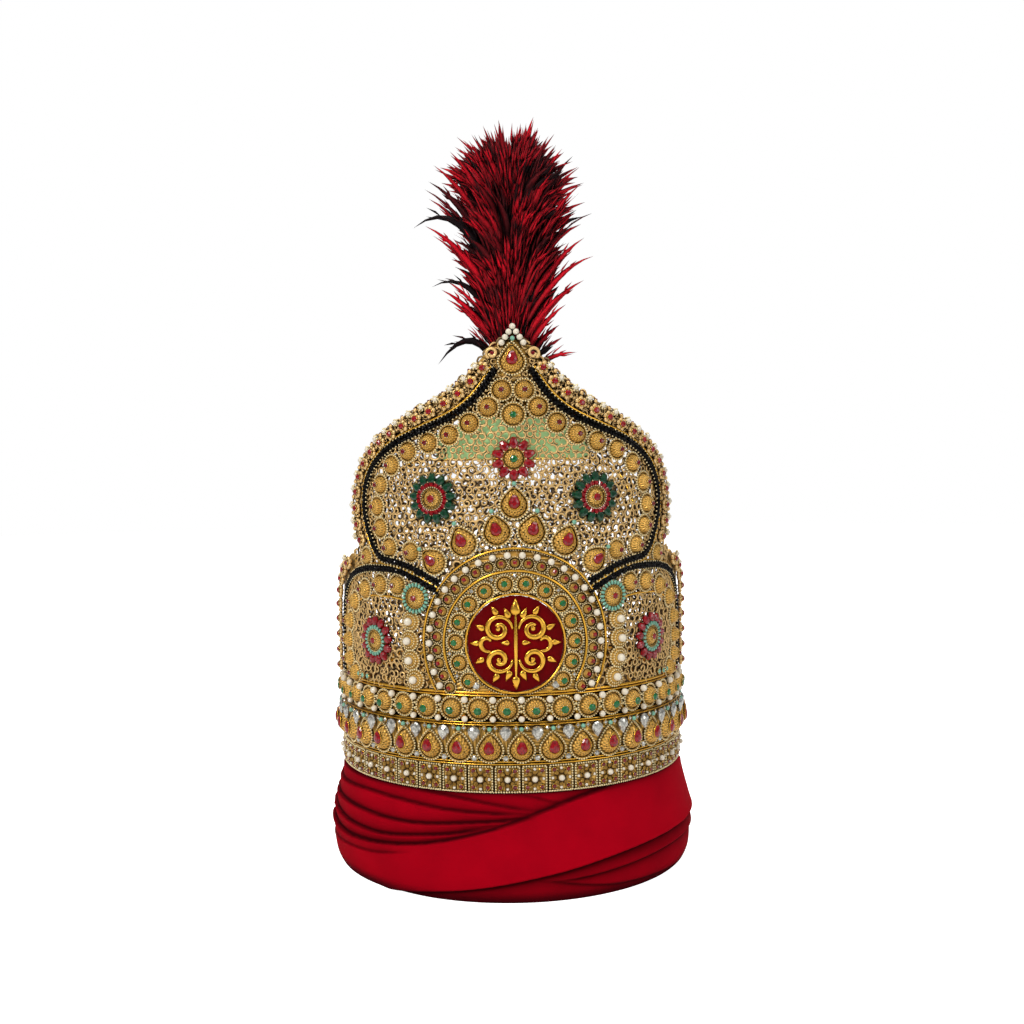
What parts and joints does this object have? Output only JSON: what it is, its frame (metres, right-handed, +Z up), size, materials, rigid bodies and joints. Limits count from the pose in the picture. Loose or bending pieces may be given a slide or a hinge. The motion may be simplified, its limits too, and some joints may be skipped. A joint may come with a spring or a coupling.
{
  "type": "ceremonial crown",
  "caption": "Tall round crown of pierced gold metal set with stones and pearls, with a lobed front, a round medallion, stacked bands, a wound cloth base and a feather plume.",
  "frame": {"origin": "on the ground under the middle of the crown, where its cloth ring rests", "axes": "+Z up along the crown's axis to the plume; the front with the medallion faces -Y; +X is the wearer's left and the viewer's right"},
  "size_m": [0.218, 0.218, 0.4148],
  "materials": {
    "gold": "polished gilt metal with fine granulation",
    "filigree_gold": "pale gilt filigree",
    "crimson_cloth": "wound matt cloth",
    "green_cloth": "matt cloth",
    "crimson_feather": "feathers",
    "red_stone": "cut stone",
    "green_stone": "cut stone",
    "dark_red_enamel": "fired enamel",
    "black_beads": "faceted beads",
    "pearl": "cream pearls"
  },
  "bodies": {
    "root": {"turban_wrap": "crimson_cloth", "squares_tier": "gold", "drops_tier": "gold", "discs_tier": "gold", "front_plate": "filigree_gold", "back_plate": "filigree_gold", "backing_cloth": "green_cloth", "bead_line_left": "black_beads", "bead_line_right": "black_beads", "side_bead_line_left": "black_beads", "side_bead_line_right": "black_beads", "lobe_disc_row_left": "gold", "lobe_disc_row_right": "gold", "side_disc_row_left": "gold", "side_disc_row_right": "gold", "medallion_frame": "gold", "enamel_disc": "dark_red_enamel", "medallion_ornament": "gold", "pearl_arch": "pearl", "tear_mount_top": "red_stone", "tear_mount_left_1": "red_stone", "tear_mount_left_2": "red_stone", "tear_mount_left_3": "red_stone", "tear_mount_right_1": "red_stone", "tear_mount_right_2": "red_stone", "tear_mount_right_3": "red_stone", "apex_mount": "red_stone", "apex_pearls": "pearl", "centre_disc": "gold", "flower_top": "red_stone", "flower_left": "green_stone", "flower_right": "green_stone", "rosette_left": "red_stone", "rosette_right": "red_stone", "bead_disc_left": "gold", "bead_disc_right": "gold", "notch_disc_left": "gold", "notch_disc_right": "gold", "stud_left_1": "gold", "stud_left_2": "gold", "stud_left_3": "gold", "stud_left_4": "gold", "stud_right_1": "gold", "stud_right_2": "gold", "stud_right_3": "gold", "stud_right_4": "gold", "plume": "crimson_feather", "plume_holder": "gold"}
  },
  "joints": []
}
